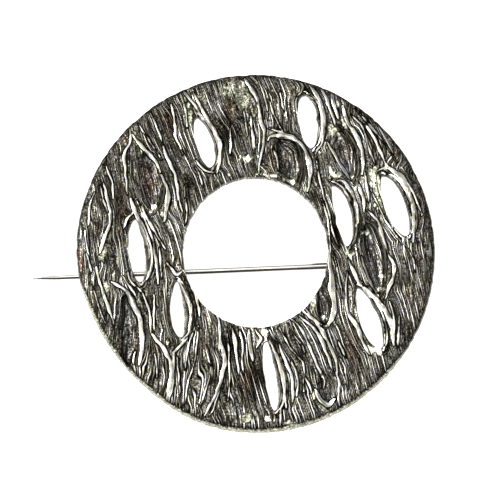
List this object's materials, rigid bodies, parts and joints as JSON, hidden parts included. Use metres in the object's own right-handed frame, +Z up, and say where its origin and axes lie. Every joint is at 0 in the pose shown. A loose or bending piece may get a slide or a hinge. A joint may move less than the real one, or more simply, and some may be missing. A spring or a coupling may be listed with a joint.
{
  "type": "circle brooch",
  "caption": "Flat cast ring brooch with a bark-like front, lens-shaped cut-outs and dents, and a straight hinged pin with a catch across its back.",
  "frame": {"origin": "centre of the bottom of the bounding box, on the surface that the brooch lies on", "axes": "+Z up from the surface, +X to the right of the front and towards the pin's hinge, +Y to the top of the front"},
  "size_m": [0.068, 0.0608, 0.0077],
  "materials": {
    "cast_silver": "cast silver, polished on its high places and blackened in its furrows",
    "pin_metal": "drawn silver-coloured wire, polished"
  },
  "bodies": {
    "ring": {"ring_plate": "cast_silver", "hinge_rivet": "pin_metal"},
    "pin": {"pin_stem": "pin_metal"}
  },
  "joints": [
    {"name": "pin_hinge", "type": "hinge", "parent": "ring", "child": "pin", "pos_m": [0.02215, -0.002, 0.00133], "axis": [0.0425, -0.9941, 0.1], "range_deg": [0, 90]}
  ]
}
